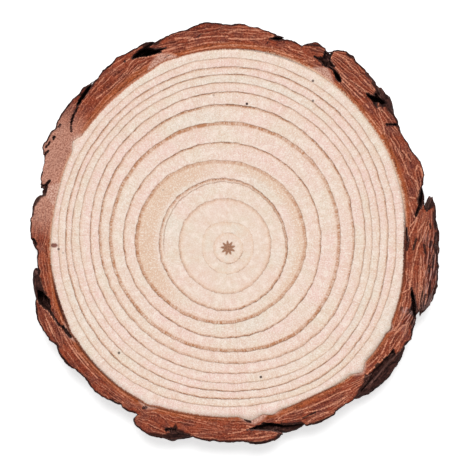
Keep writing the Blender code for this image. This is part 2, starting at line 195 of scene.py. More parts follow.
# How far out the bark is one solid mass behind its plates, every 10 degrees, in millimetres
BED_HEIGHTS = (
    4.5, 4.4, 4.8, 4.5, 4.4, 4.4, 3.4, 4.4, 4.0, 4.4, 4.4, 3.4,
    4.8, 5.2, 4.8, 4.8, 3.9, 4.2, 3.4, 3.2, 2.9, 3.2, 3.5, 3.0,
    2.6, 3.8, 4.3, 4.4, 3.0, 3.4, 4.4, 4.2, 3.2, 4.2, 3.8, 3.6,
)

# A fissure is a gap in the form of a plate. It is open at both faces, with a web of bark across it
# at this depth below the upper face.
Fissure = namedtuple("Fissure", "start end start_height end_height outer inner depth")
FISSURES = [Fissure(*row) for row in (
    (12.2, 17.8, 4.5, 6.3, 6.0, 4.7, 7.5), (42.3, 47.9, 6.9, 4.5, 6.3, 5.0, 6.0),
    (55.7, 59.4, 2.1, 3.5, 3.2, 2.1, 5.0), (61.6, 63.7, 5.0, 6.0, 8.0, 3.2, 4.5),
    (73.2, 79.2, 5.7, 3.7, 5.2, 4.3, 5.5), (108.8, 116.9, 2.9, 5.1, 5.8, 3.8, 8.0),
    (128.5, 136.8, 6.8, 5.7, 6.6, 5.7, 5.0), (192.2, 199.3, 4.7, 3.0, 5.0, 2.4, 7.0),
    (280.8, 288.5, 2.6, 5.0, 4.3, 3.4, 6.0), (339.2, 347.0, 5.4, 2.7, 4.6, 3.6, 6.5),
)]

# How far a web reaches past the rim of its fissure
WEB_EDGE = 0.4

# How unevenly plates lean and taper, and how they narrow within the last END_HEIGHT above and below
SEED = 483
MOST_LEAN_DEG = 1.2
MOST_TAPER = 0.9
END_HEIGHT = 2.4
END_INSET = 0.16
END_THINNING = 1.0
BLUNT_POWER = 0.6

# A crack runs straight from one angle and height to another, so wide and so deep from each face.
# At that depth it has narrowed by this share.
CRACK_NARROWING = 0.7
Crack = namedtuple("Crack", "start start_height end end_height width depth")
CRACKS = [Crack(*row) for row in (
    (13.6, 4.8, 9.8, 3.1, 0.45, 3.0), (2.2, 0.7, 6.5, 0.3, 0.35, 1.0),
    (35.7, 6.6, 37.9, 3.7, 0.35, 3.0), (43.0, 5.9, 46.2, 6.4, 0.7, 3.0),
    (59.0, 3.4, 65.8, 3.7, 0.32, 2.5), (61.9, 3.4, 63.2, 7.2, 1.0, 5.0),
    (108.2, 6.5, 112.6, 5.7, 0.6, 2.0), (136.5, 5.4, 139.6, 4.9, 0.24, 2.5),
    (139.6, 4.8, 141.4, 4.3, 0.34, 2.0), (141.4, 4.3, 143.3, 2.9, 0.2, 1.5),
    (147.2, 6.1, 147.8, 6.5, 0.36, 1.2), (149.4, 6.7, 151.2, 7.1, 0.2, 1.2),
    (151.6, 6.1, 153.6, 6.7, 0.26, 1.2), (159.3, 3.1, 161.2, 3.9, 0.4, 1.6),
    (161.0, 3.7, 162.8, 3.6, 0.6, 2.0), (161.1, 3.9, 161.7, 5.6, 0.3, 1.5),
    (177.6, 4.8, 178.8, 4.1, 0.6, 1.6), (198.6, 3.1, 201.0, 2.6, 0.4, 2.5),
    (201.0, 2.6, 204.4, 2.0, 0.3, 2.0), (204.4, 2.0, 205.4, 1.4, 0.3, 2.0),
    (205.4, 1.3, 209.4, 0.8, 0.5, 2.5), (242.0, 1.5, 242.9, 1.2, 0.35, 1.0),
    (251.2, 5.2, 253.9, 4.7, 0.7, 2.0), (275.7, 1.2, 277.4, 1.8, 0.32, 1.5),
    (286.5, 4.6, 292.8, 5.9, 0.7, 3.0), (333.1, 0.4, 333.8, 0.6, 0.5, 1.0),
    (345.8, 3.1, 347.6, 2.6, 0.26, 1.5),
)]

# Pale seams across the sawn face of the bark, from point to point, each an angle and a height
SEAMS = (
    ((0.0, 3.3), (3.5, 4.8), (6.2, 5.9)), ((4.8, 3.4), (7.6, 5.3)),
    ((3.4, 1.0), (5.5, 2.0), (8.8, 3.3), (12.6, 3.9)), ((6.6, 1.2), (8.4, 2.9)),
    ((9.4, 2.7), (14.0, 1.6)),
    ((13.3, 3.7), (16.6, 4.9), (19.8, 4.7), (22.3, 3.2), (27.0, 3.1), (34.0, 2.7)),
    ((14.7, 3.7), (15.7, 2.1)), ((19.8, 6.8), (22.6, 6.9), (23.6, 6.2), (22.4, 5.4)),
    ((25.5, 5.0), (29.2, 4.0)), ((36.0, 1.9), (38.6, 2.9), (42.0, 3.8)), ((39.0, 5.1), (43.0, 4.9)),
    ((36.5, 1.3), (44.6, 1.2)), ((42.3, 4.5), (45.0, 4.3)), ((45.0, 2.6), (52.0, 2.3), (56.0, 2.5)),
    ((47.5, 5.0), (51.0, 4.6), (55.0, 3.9), (59.0, 4.2), (61.0, 4.9), (62.0, 6.9)),
    ((46.2, 7.0), (50.0, 6.6), (56.0, 6.9), (58.0, 7.6), (62.0, 7.4)),
    ((48.0, 3.5), (54.0, 3.1), (57.5, 3.4)), ((65.2, 2.8), (68.0, 1.4)),
    ((69.0, 3.4), (72.5, 2.8), (73.6, 3.6)),
    ((77.2, 5.7), (77.9, 4.8), (80.5, 3.5), (84.0, 2.8), (90.0, 2.6)), ((71.0, 1.2), (77.0, 1.1)),
    ((77.5, 1.7), (84.0, 1.1), (90.0, 1.0), (96.0, 0.6), (103.0, 0.5)),
    ((81.6, 5.5), (87.6, 5.0), (90.0, 4.2)), ((90.0, 3.3), (97.0, 3.6), (101.0, 3.5)),
    ((99.5, 3.9), (104.0, 5.0)), ((91.0, 1.9), (97.0, 2.0), (102.0, 1.7)), ((104.0, 2.5), (108.6, 3.0)),
    ((104.8, 0.6), (107.0, 1.9), (110.0, 2.6), (112.6, 3.3), (115.5, 4.6), (118.0, 4.2), (119.8, 3.1)),
    ((111.5, 1.8), (114.0, 0.4)), ((113.0, 2.5), (118.8, 1.8)), ((117.5, 5.4), (124.0, 5.2)),
    ((120.0, 2.6), (126.0, 2.3), (131.5, 2.9)), ((138.0, 3.0), (142.6, 2.2), (144.6, 1.3)),
    ((163.6, 3.9), (166.5, 2.6)), ((192.7, 4.7), (193.4, 3.5), (194.8, 2.5)),
    ((195.0, 5.6), (198.0, 4.3), (199.4, 3.4), (202.5, 2.8), (205.5, 2.0), (213.0, 2.1), (225.0, 2.0)),
    ((202.5, 0.9), (206.0, 0.6), (209.5, 0.5)), ((213.0, 1.4), (220.0, 1.3)),
    ((200.0, 4.4), (207.0, 4.5)), ((270.0, 4.5), (274.0, 4.1), (276.5, 3.4)),
    ((270.5, 5.8), (277.0, 6.1), (283.0, 6.3)), ((276.0, 2.6), (277.8, 3.3)),
    ((281.0, 3.5), (284.0, 4.3), (288.0, 5.9)), ((285.4, 2.9), (287.5, 2.0), (293.0, 1.6)),
    ((293.0, 2.1), (300.0, 2.4), (307.0, 2.4), (311.0, 3.3)),
    ((294.5, 5.8), (297.0, 5.3), (300.0, 5.3), (301.4, 5.7)),
    ((295.0, 3.2), (300.0, 4.2), (305.0, 4.5), (309.0, 4.3)),
    ((315.5, 2.9), (319.0, 2.8), (326.0, 3.3)),
    ((317.0, 5.3), (323.0, 5.2), (327.0, 5.4), (331.5, 6.0)),
    ((319.5, 1.5), (326.0, 2.0), (330.5, 1.2)),
    ((327.2, 3.6), (329.5, 2.4), (333.0, 2.3), (336.0, 3.0), (336.7, 3.9)),
    ((329.0, 4.2), (334.0, 4.4), (337.5, 4.1)), ((333.5, 1.6), (338.0, 2.4), (343.5, 2.5)),
    ((337.5, 1.9), (342.5, 1.2), (345.0, 1.5)),
    ((345.4, 0.2), (347.3, 2.1), (351.0, 1.4), (353.0, 0.3)),
    ((347.3, 2.2), (353.0, 2.1), (358.0, 2.9), (360.0, 3.3)),
    ((345.2, 4.9), (352.0, 4.4), (358.0, 4.3)),
    ((340.4, 6.0), (345.0, 5.4), (350.0, 5.2), (355.0, 5.4)),
    ((340.6, 6.6), (345.5, 6.0), (351.0, 6.2)), ((341.5, 7.2), (348.0, 6.7)),
)

# Dark stains on it, and a painted shadow along the rim at the bottom, each from one angle and height to
# another, so wide
StainAndShadow = namedtuple("StainAndShadow", "start start_height end end_height width")
STAINS_AND_SHADOWS = [StainAndShadow(*row) for row in (
    (340.4, 7.2, 343.6, 7.3, 0.9), (341.0, 6.6, 346.8, 6.5, 0.5), (343.0, 7.8, 350.5, 7.2, 0.65),
    (341.5, 6.0, 347.6, 5.6, 0.5), (354.6, 7.5, 357.8, 7.6, 0.7), (353.4, 6.6, 355.0, 6.4, 0.6),
    (358.8, 8.3, 361.0, 7.8, 0.9), (360.2, 6.6, 361.8, 7.0, 0.7), (362.0, 8.1, 364.0, 8.2, 0.8),
    (365.6, 6.9, 366.8, 6.7, 0.6), (358.6, 5.4, 361.0, 5.0, 0.6), (359.4, 0.4, 362.6, 0.9, 0.9),
    (359.6, 2.2, 362.8, 2.9, 0.7), (371.6, 7.4, 373.2, 7.2, 1.1), (16.6, 5.6, 17.6, 6.0, 0.6),
    (45.0, 5.4, 47.4, 4.5, 0.9), (42.6, 6.0, 46.0, 6.3, 1.2), (57.0, 9.2, 58.2, 9.0, 0.9),
    (65.4, 7.0, 69.2, 5.4, 0.5), (73.2, 5.4, 75.6, 4.9, 0.5), (79.0, 3.2, 79.2, 2.4, 0.3),
    (97.2, 4.6, 98.2, 3.8, 0.4), (106.4, 1.5, 108.6, 1.1, 0.25), (111.0, 6.6, 112.6, 6.3, 0.9),
    (177.8, 4.9, 178.6, 4.2, 0.8), (213.6, 5.5, 217.8, 5.2, 0.7), (293.8, 4.3, 298.0, 4.2, 0.5),
    # Painted shadow: a dark streak along the outer edge at the bottom, where the slice's contact shadow
    # falls
    (270.0, 6.9, 284.5, 7.8, 0.5),
)]

# Dots of resin: place from the pith, radius and strength
RESIN = (
    (5.0, 38.2, 0.42, 0.95), (22.5, 44.3, 0.4, 0.8), (22.5, 39.0, 0.4, 0.7),
    (-3.8, 40.5, 0.3, 0.4), (-28.9, -27.8, 0.42, 0.8), (8.7, -34.2, 0.42, 0.9),
    (-43.7, -1.3, 0.35, 0.3), (-17.2, 15.4, 0.3, 0.3), (-44.9, -0.3, 0.4, 0.7),
)

# A small knot at the left edge of the wood, from the pith
KNOT = (-46.1, 0.7, 0.0)

# Stretches of the bark: the angle of the middle, how many degrees to each side it is whole, and how
# many degrees away it ends
CRUMBLY_STRETCHES = ((352, 16, 26), (50, 7, 14))
PINK_STRETCH = (157, 11, 22)
DULL_STRETCH = (350, 9, 20)

# How thick the layers are that a plate and the bed are made of
PLATE_LAYER = 0.95
BED_LAYER = 0.9

# A noise: its seed, its strength, its cells in a full turn, and how high and how deep a cell is.
# A plate adds its number to the seed.
Noise = namedtuple("Noise", "seed strength cells cell_height cell_depth")
RAGGED_EDGE = Noise(0, 0.22, 150, 1.0, 2.2)
FINE_EDGE = Noise(500, 0.13, 420, 1.0, 1.0)
FISSURE_EDGE = Noise(31, 0.16, 420, 1.0, 1.5)
FINE_CRUMBLE = Noise(11, 0.12, 500, 0.7, 0.8)
COARSE_CRUMBLE = Noise(12, 0.16, 210, 1.6, 1.9)
COARSE_CHIPS = Noise(21, 1.0, 260, 0.9, 1.0)
FINE_CHIPS = Noise(22, 0.6, 90, 0.5, 1.0)

# How many cells a noise has in height and in depth before it repeats
NOISE_CELLS = 64

# How far inside its even outline the ragged edge of a plate lies on average
EDGE_INSET = 0.1

# The heights between which the bark starts to crumble, and those between which it crumbles more
CRUMBLE_HEIGHTS = (1.5, 3.0)
RIM_CRUMBLE_HEIGHTS = (5.5, 7.0)

# Chips of the rim: how wide and deep they are in firm bark, what crumbly bark adds, and how far
# from the rim they fade and end
CHIP_WIDTH = 0.35
CHIP_DEPTH = 0.3
CRUMBLY_WIDTH = 0.5
CRUMBLY_DEPTH = 0.4
CHIP_FADE = 1.4
CHIP_REACH = 2.2

# The bark's angles and heights follow a rise of the wood less and less, up to this height
RISE_REACH = 6.0

# How many millimetres of arc a degree takes up halfway out in the bark
ARC = math.radians(52.0)

# How many degrees past its tips a plate, a fissure, a crack or a stain is still looked at, and how
# many past its ends a stretch of a seam
REACH = 3
SEAM_REACH = 2

# A point up to this far outside a plate still takes its markings
PLATE_MARGIN = 0.1

# A plate counts as at least this thick where its layers are placed
LEAST_THICKNESS = 0.05

# How far below a sawn face the bark still has the saw's colours
SAWN_DEPTH = 0.04

# Grain of the two meshes. The grid of the bark reaches past both sawn faces by FACE_MARGIN. The
# wood has two rows of points round its pith, and a row at each of RING_STEPS from every ring, as
# shares of the way to the next one. The bark begins JOIN_OVERLAP inside the edge of the wood.
BARK_ANGLES = 1080
HEIGHT_STEP = 0.3
MOST_HEIGHT = 10.6
LEVEL_STEP = 0.615
FACE_MARGIN = 0.15
WOOD_ANGLES = 720
PITH_ROWS = [0.3, 0.6]
RING_STEPS = (-0.12, 0, 0.04, 0.5)
JOIN_HEIGHT = 0.15
JOIN_OVERLAP = 0.02


def periodic_curve(values, angle):
    """A smooth closed curve through values that are evenly spaced round the circle."""
    values = np.asarray(values, dtype=float)
    place = np.asarray(angle, dtype=float) / 360 * len(values)
    first = np.floor(place).astype(int)
    u = place - first
    before, here, there, after = (values[(first + k) % len(values)] for k in (-1, 0, 1, 2))
    slope = (there - before) / 2
    next_slope = (after - here) / 2
    return (
        here * (2 * u**3 - 3 * u**2 + 1)
        + slope * (u**3 - 2 * u**2 + u)
        + there * (3 * u**2 - 2 * u**3)
        + next_slope * (u**3 - u**2)
    )


def turned(angle, origin):
    """Angles brought within half a turn of an origin."""
    return (angle - origin + 180) % 360 - 180


def smooth_step(value, low, high):
    """0 at low, 1 at high, and a smooth rise between them."""
    u = np.clip((value - low) / (high - low), 0, 1)
    return u * u * (3 - 2 * u)


def stretch(angle, middle, whole, end):
    """1 within whole degrees of the middle of a stretch, and 0 past end degrees."""
    return smooth_step(-np.abs(turned(angle, middle)), -end, -whole)


def tent(angle, middle, half_width):
    """1 at an angle, falling evenly to 0 at half_width degrees from it."""
    return np.clip(1 - np.abs(turned(angle, middle)) / half_width, 0, 1)


def rise(angle):
    """How far the wood stands above its even outline."""
    total = np.zeros(np.shape(angle))
    for middle, half_width, height in RISES:
        share = tent(angle, middle, half_width)
        total = total + height * share**1.2 * (3 - share) / 2
    return total


def lifted(height, angle):
    """Heights in the bark, moved outwards where the wood rises."""
    return height + rise(angle) * np.clip(1 - height / RISE_REACH, 0, 1)


def lattice_noise(noise, angle, height, level, number=0):
    """Smooth noise to each side of 0, up to its strength. It closes on itself after a full turn."""
    cells = noise.cells
    rng = np.random.default_rng(noise.seed + number)
    table = rng.uniform(-1, 1, (cells, NOISE_CELLS, NOISE_CELLS))
    total = 0
    turns = np.asarray(angle) / 360
    places = (turns * cells, height / noise.cell_height + 8, level / noise.cell_depth + 8)
    places = np.broadcast_arrays(*places)
    corners = [np.floor(place).astype(int) for place in places]
    shares = [smooth_step(place - corner, 0, 1) for place, corner in zip(places, corners)]
    for steps in itertools.product((0, 1), repeat=3):
        weight = 1
        for share, step in zip(shares, steps):
            weight = weight * (share if step else 1 - share)
        column, row, layer = (
            (corner + step) % size for corner, step, size in zip(corners, steps, table.shape)
        )
        total = total + weight * table[column, row, layer]
    return noise.strength * total


def plate_habit(number):
    """How far a plate leans and tapers on its way down the slice, as in its solid."""
    draw = random.Random(SEED + number)
    return draw.uniform(-MOST_LEAN_DEG, MOST_LEAN_DEG), draw.uniform(0, MOST_TAPER)


def lens(part, u, power=1.0):
    """The height of the line between a lens's tips, that height halfway, and its fullness at u."""
    chord = part.start_height + (part.end_height - part.start_height) * u
    middle = (part.start_height + part.end_height) / 2
    return chord, middle, np.clip(4 * u * (1 - u), 0, None) ** power


def past_tips(part, u):
    """How far places are past the nearer tip of a lens, in millimetres."""
    return (np.abs(u - 0.5) - 0.5) * (part.end - part.start) * ARC


def plate_bounds(number, plate, angle, level):
    """A plate's share along its length, its outer height and its inner height, at these places."""
    lean, taper = plate_habit(number)
    depth = np.clip(1 - level / THICKNESS, 0, 1)
    low = plate.base_gap if plate.base_gap else -THICKNESS
    high = THICKNESS - plate.top_gap if plate.top_gap else 2 * THICKNESS
    near_end = np.clip(1 - np.minimum(high - level, level - low) / END_HEIGHT, 0, 1)
    inset = (plate.end - plate.start) * END_INSET * near_end
    length = plate.end - plate.start - 2 * inset
    middle_angle = (plate.start + plate.end) / 2
    u = turned(angle, middle_angle + lean * depth) / length + 0.5
    chord, middle, bulge = lens(plate, u, BLUNT_POWER if plate.blunt else 1.0)
    widest = plate.outer - END_THINNING * near_end
    outer = chord + (widest - middle) * bulge * (1 - taper * depth)
    inner = chord + (plate.inner - middle) * bulge
    return u, outer, inner, low, high


def inside_plate(plate, bounds, height, level):
    """How deep inside a plate's bounds each place lies, in millimetres, or below 0 outside them."""
    u, outer, inner, low, high = bounds
    inside = np.minimum(outer - height, height - inner)
    inside = np.minimum(inside, -past_tips(plate, u))
    return np.minimum(inside, np.minimum(high - level, level - low))


def plate_field(number, plate, angle, height, level):
    """How deep each place lies inside a plate whose outer edge is ragged."""
    u, outer, *others = plate_bounds(number, plate, angle, level)
    rough = lattice_noise(RAGGED_EDGE, angle, 0 * level, level, number)
    rough = rough + lattice_noise(FINE_EDGE, angle, 0 * level, level, number)
    return inside_plate(plate, (u, outer + rough - EDGE_INSET, *others), height, level)


def crack_field(crack, angle, height, level):
    """How deep inside a crack each place lies, in millimetres, or below 0 outside it."""
    away = away_from(crack[:4], angle, height)
    depth = np.minimum(THICKNESS - level, level)
    narrowing = 1 - CRACK_NARROWING * np.clip(depth / crack.depth, 0, 1)
    return np.minimum(crack.width / 2 * narrowing - away, crack.depth - depth)


def away_from(mark, angle, height):
    """How far points are from a straight mark from one angle and height to another."""
    start, start_height, end, end_height = mark
    length = turned(end, start) * ARC
    climb = end_height - start_height
    along = turned(angle, start) * ARC
    up = height - start_height
    share = np.clip((along * length + up * climb) / (length**2 + climb**2), 0, 1)
    return np.hypot(along - share * length, up - share * climb)


def in_reach(angles, low, high, margin=REACH):
    """Indices of the angles from low to high and a margin past them, which may pass a full turn."""
    low, high = low - margin, high + margin
    middle = (low + high) / 2
    return np.nonzero(np.abs(turned(angles, middle)) <= (high - low) / 2)[0]


def fissure_field(fissure, angle, height, level):
    """How deep inside a fissure each place lies, in millimetres, its web left out of account."""
    u = turned(angle, (fissure.start + fissure.end) / 2) / (fissure.end - fissure.start) + 0.5
    chord, middle, bulge = lens(fissure, u)
    outer = chord + (fissure.outer - middle) * bulge
    inner = chord + (fissure.inner - middle) * bulge
    rough = lattice_noise(FISSURE_EDGE, angle, 0 * level, level)
    inside = np.minimum(outer + rough - height, height - inner + rough)
    return np.minimum(inside, -past_tips(fissure, u))


def bark_field(angles, heights, levels):
    """How deep inside the bark each point of a grid lies, in millimetres."""
    angle = angles[:, None, None]
    level = levels[None, None, :]
    height = lifted(heights[None, :, None], angle)
    height = np.broadcast_to(height, (len(angles), len(heights), len(levels)))
    field = periodic_curve(BED_HEIGHTS, angle) - height
    for number, plate in enumerate(PLATES):
        reach = in_reach(angles, plate.start, plate.end)
        inside = plate_field(number, plate, angle[reach], height[reach], level)
        field[reach] = np.maximum(field[reach], inside)
    crumble = lattice_noise(FINE_CRUMBLE, angle, height, level)
    crumble = crumble + lattice_noise(COARSE_CRUMBLE, angle, height, level)
    crumble = crumble * (1 + crumbliness(angle) * smooth_step(height, *RIM_CRUMBLE_HEIGHTS))
    field = field + crumble * smooth_step(height, *CRUMBLE_HEIGHTS)
    outline = field[:, :, -2].copy()
    widest = field.max(axis=2)[:, :, None]
    for fissure in FISSURES:
        reach = in_reach(angles, fissure.start, fissure.end)
        gap = fissure_field(fissure, angle[reach], height[reach], level)
        floor = THICKNESS - fissure.depth
        in_web = np.minimum(floor - level, level - floor + WEB)
        web = np.minimum(np.minimum(gap + WEB_EDGE, in_web), widest[reach] - WEB_EDGE)
        field[reach] = np.maximum(np.minimum(field[reach], np.maximum(-gap, in_web)), web)
    for crack in CRACKS:
        reach = in_reach(angles, *sorted((crack.start, crack.end)))
        gap = crack_field(crack, angle[reach], height[reach], level)
        field[reach] = np.minimum(field[reach], -gap)
    from_rim = rim_heights(outline, heights)[:, None] - heights
    chip = chipping(angles[:, None], height[:, :, -2], outline, from_rim)
    field = np.minimum(field, THICKNESS - chip[:, :, None] - level)
    from_rim = rim_heights(field[:, :, 1], heights)[:, None] - heights
    chip = chipping(angles[:, None] + 90, height[:, :, 1], field[:, :, 1], from_rim)
    return np.minimum(field, level - chip[:, :, None])


def rim_heights(inside, heights):
    """The height of the rim at each angle, from how deep inside the bark each place of a face is."""
    rows = np.where(inside > 0, np.arange(len(heights))[None, :], 0)
    return heights[rows.max(axis=1)]


def chipping(angle, height, inside, from_rim):
    """How far the rim of a face has broken away: most where the bark is crumbly."""
    crumbly = crumbliness(angle)
    width = CHIP_WIDTH + CRUMBLY_WIDTH * crumbly
    ragged = lattice_noise(COARSE_CHIPS, angle, height, 0 * height)
    ragged = ragged + lattice_noise(FINE_CHIPS, angle, height, 0 * height)
    broken = smooth_step(0.5 + ragged - inside / width, 0, 1.2)
    depth = CHIP_DEPTH + CRUMBLY_DEPTH * crumbly
    return depth * broken * smooth_step(-from_rim, -CHIP_REACH, -CHIP_FADE)


def surface_net(field):
    """Points, in grid steps, and four-sided faces where a field crosses 0.

    The first axis closes on itself. The surface stays open at the second axis's first cells.
    """
    count, rows, layers = field.shape
    closed = np.concatenate([field, field[:1]], axis=0)
    hits = np.zeros((count, rows - 1, layers - 1))
    total = np.zeros((count, rows - 1, layers - 1, 3))
    crossings = []
    for axis in range(3):
        size = closed.shape[axis]
        near = np.take(closed, range(size - 1), axis=axis)
        far = np.take(closed, range(1, size), axis=axis)
        crossing = (near > 0) != (far > 0)
        share = np.where(crossing, near / np.where(crossing, near - far, 1), 0)
        crossings.append((crossing, near > 0))
        others = [other for other in range(3) if other != axis]
        for offsets in itertools.product((0, 1), repeat=2):
            window = [slice(None)] * 3
            for other, offset in zip(others, offsets):
                window[other] = slice(offset, closed.shape[other] - 1 + offset)
            window = tuple(window)
            here = crossing[window]
            hits += here
            total[..., axis] += share[window]
            total[..., others[0]] += here * offsets[0]
            total[..., others[1]] += here * offsets[1]
    used = hits > 0
    number = np.full(hits.shape, -1)
    number[used] = np.arange(used.sum())
    points = np.argwhere(used) + total[used] / hits[used][:, None]
    faces = []
    for axis, (crossing, starts_inside) in enumerate(crossings):
        others = [other for other in range(3) if other != axis]
        window = [slice(None)] * 3
        window[0] = slice(0, count)
        for other in others:
            if other:
                window[other] = slice(1, closed.shape[other] - 1)
        window = tuple(window)
        place = np.argwhere(crossing[window])
        inside = starts_inside[window][crossing[window]]
        for other in others:
            if other:
                place[:, other] += 1
        ring = []
        for first, second in ((1, 1), (0, 1), (0, 0), (1, 0)):
            cell = place.copy()
            cell[:, others[0]] -= first
            cell[:, others[1]] -= second
            cell[:, 0] %= count
            ring.append(number[tuple(cell.T)])
        quads = np.stack(ring, axis=1)
        flip = inside if axis == 1 else ~inside
        quads[flip] = quads[flip][:, ::-1]
        faces.append(quads)
    return points, np.concatenate(faces), number


def largest_shell(count, faces):
    """Which faces belong to the largest connected part of a mesh of so many points."""
    label = np.arange(count)
    while True:
        lowest = label[faces].min(axis=1)
        updated = label.copy()
        np.minimum.at(updated, faces.ravel(), np.repeat(lowest, faces.shape[1]))
        updated = updated[updated]
        if (updated == label).all():
            break
        label = updated
    names, sizes = np.unique(label[faces[:, 0]], return_counts=True)
    return label[faces[:, 0]] == names[sizes.argmax()]


def make_piece(name, points, faces, attributes):
    """A smooth mesh object from points in millimetres, with a number per point for each attribute."""
    mesh = bpy.data.meshes.new(name)
    mesh.from_pydata((points * MM).tolist(), [], [list(face) for face in faces])
    for label, values in attributes.items():
        layer = mesh.attributes.new(label, "FLOAT", "POINT")
        layer.data.foreach_set("value", np.ascontiguousarray(values, dtype=np.float32))
    mesh.validate()
    mesh.shade_smooth()
    piece = bpy.data.objects.new(name, mesh)
    bpy.context.scene.collection.objects.link(piece)
    return piece


def from_pith(angle, radius, level):
    """Points at these angles and distances from the pith, and at these levels."""
    turn = np.radians(angle)
    x = PITH[0] + radius * np.cos(turn)
    y = PITH[1] + radius * np.sin(turn)
    return np.stack([x, y, level], axis=1)


def plate_markings(angle, height, level):
    """For each point, where it lies in the first plate that holds it, or else in the bed."""
    layer = height / BED_LAYER
    spacing = np.full(angle.shape, BED_LAYER)
    bed = np.full(angle.shape, 2.0)
    lid = np.full(angle.shape, 2.0)
    tone = np.full(angle.shape, 0.3)
    free = np.ones(angle.shape, dtype=bool)
    within = periodic_curve(BED_HEIGHTS, angle) - height
    for number, plate in enumerate(PLATES):
        reach = in_reach(angle, plate.start, plate.end)
        bounds = plate_bounds(number, plate, angle[reach], level[reach])
        inside = inside_plate(plate, bounds, height[reach], level[reach])
        within[reach] = np.maximum(within[reach], inside)
        wins = (inside > -PLATE_MARGIN) & free[reach]
        chosen = reach[wins]
        free[chosen] = False
        outer, inner = bounds[1][wins], bounds[2][wins]
        thick = np.maximum(outer - inner, LEAST_THICKNESS)
        layers = max(2, round((plate.outer - plate.inner) / PLATE_LAYER))
        layer[chosen] = (height[chosen] - inner) / thick * layers + 10 * number
        spacing[chosen] = thick / layers
        bed[chosen] = height[chosen] - inner
        lid[chosen] = outer - height[chosen]
        tone[chosen] = random.Random(number).random()
    return dict(layer=layer, spacing=spacing, bed=bed, lid=lid, tone=tone, inside=within)


def seam_distance(angle, height):
    """How far points are from the nearest traced seam, up to 1 mm."""
    away = np.ones(angle.shape)
    for seam in SEAMS:
        for (start, start_height), (end, end_height) in zip(seam, seam[1:]):
            reach = in_reach(angle, *sorted((start, end)), SEAM_REACH)
            mark = (start, start_height, end, end_height)
            away[reach] = np.minimum(away[reach], away_from(mark, angle[reach], height[reach]))
    return away


def stain_and_shadow_depth(angle, height):
    """How far points are inside a stain or the painted shadow at the bottom rim, as a share of its half
    width, or down to -2 outside it.
    """
    depth = np.full(angle.shape, -2.0)
    for stain_and_shadow in STAINS_AND_SHADOWS:
        reach = in_reach(angle, stain_and_shadow.start, stain_and_shadow.end)
        away = away_from(stain_and_shadow[:4], angle[reach], height[reach])
        depth[reach] = np.maximum(depth[reach], 1 - away / (stain_and_shadow.width / 2))
    return depth


def crumbliness(angle):
    """1 where the rim of the bark crumbles, 0 where it is firm."""
    right, upper = CRUMBLY_STRETCHES
    return np.maximum(stretch(angle, *right), stretch(angle, *upper))


def tissue_depth(angle, height):
    """How far inside the pale tissue each place lies, in millimetres, or below 0 outside it."""
    depth = np.full(angle.shape, -1.0)
    for middle, half_width, rising in TISSUE:
        share = tent(angle, middle, half_width)
        depth = np.maximum(depth, np.where(share > 0, rising * share**0.6 - height, -1))
    return depth


def bark_shell(field):
    """The points, in grid steps, and faces of the bark, and which points lie against the wood."""
    points, faces, number = surface_net(field)
    keep = largest_shell(len(points), faces)
    faces = faces[keep]
    upper = number[:, 0, -1]
    lower = number[:, 0, 0]
    wall = np.stack([upper, np.roll(upper, -1), np.roll(lower, -1), lower], axis=1)
    faces = np.concatenate([faces, wall])
    used = np.unique(faces)
    new_number = np.full(len(points), -1)
    new_number[used] = np.arange(len(used))
    at_wood = np.zeros(len(used), dtype=bool)
    at_wood[new_number[upper]] = True
    at_wood[new_number[lower]] = True
    return points[used], new_number[faces], at_wood


def bark_marks(angle, height, level, from_rim):
    """What the bark's material needs to know of each point."""
    marks = plate_markings(angle, height, level)
    marks["height"] = height
    marks["rim"] = from_rim
    marks["seam"] = seam_distance(angle, height)
    marks["stain_and_shadow"] = stain_and_shadow_depth(angle, height)
    marks["tissue"] = tissue_depth(angle, height)
    marks["sawn"] = (np.minimum(level, THICKNESS - level) < SAWN_DEPTH).astype(float)
    marks["pink"] = stretch(angle, *PINK_STRETCH)
    marks["dull"] = stretch(angle, *DULL_STRETCH)
    marks["warm"] = periodic_curve(WARM_HEIGHTS, angle) - height
    marks["cream"] = periodic_curve(CREAM_HEIGHTS, angle) - height
    marks["join"] = periodic_curve(JOIN_DARKNESS, angle)
    marks["crust"] = periodic_curve(CRUST_DEPTHS, angle)
    return marks


def bark_piece():
    """The bark, as a fine closed surface round the same plates as its solid."""
    angles = np.arange(BARK_ANGLES) * 360 / BARK_ANGLES
    heights = np.arange(JOIN_HEIGHT - JOIN_OVERLAP, MOST_HEIGHT, HEIGHT_STEP)
    inner_levels = np.arange(FACE_MARGIN, THICKNESS, LEVEL_STEP)
    levels = np.concatenate([[-FACE_MARGIN], inner_levels, [THICKNESS + FACE_MARGIN]])
    field = bark_field(angles, heights, levels)
    field[:, -1, :] = -1
    points, faces, at_wood = bark_shell(field)
    angle = points[:, 0] * 360 / BARK_ANGLES
    grid_height = np.interp(points[:, 1], np.arange(len(heights)), heights)
    grid_height[at_wood] = heights[0]
    height = lifted(grid_height, angle)
    level = np.interp(points[:, 2], np.arange(len(levels)), levels)
    level = np.clip(level, 0, THICKNESS)
    place = from_pith(angle, periodic_curve(WOOD_RADII, angle) + height, level)
    low, high = (np.array(corner) / MM for corner in cad_box)
    place[:, :2] = np.clip(place[:, :2], low[:2], high[:2])
    outline = rim_heights(field[:, :, -2], heights)
    from_rim = np.interp(angle, angles, outline, period=360) - height
    marks = bark_marks(angle, height, level, from_rim)
    piece = make_piece("bark_surface", place, faces, marks)
    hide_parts("bark")
    return piece


# What the wood's material needs to know of each point, with its value at the two centres
WOOD_CENTRE = dict(age=0, spacing=4, darkness=0, width=0.3, margin=40, cream=0, join=0)


def ring_rows():
    """The rows of points across the wood, as ages: 1 is the first ring's line, and so on."""
    rows = [age + step for age in range(1, len(RINGS) + 1) for step in RING_STEPS]
    return PITH_ROWS + rows + [len(RINGS) + 1]


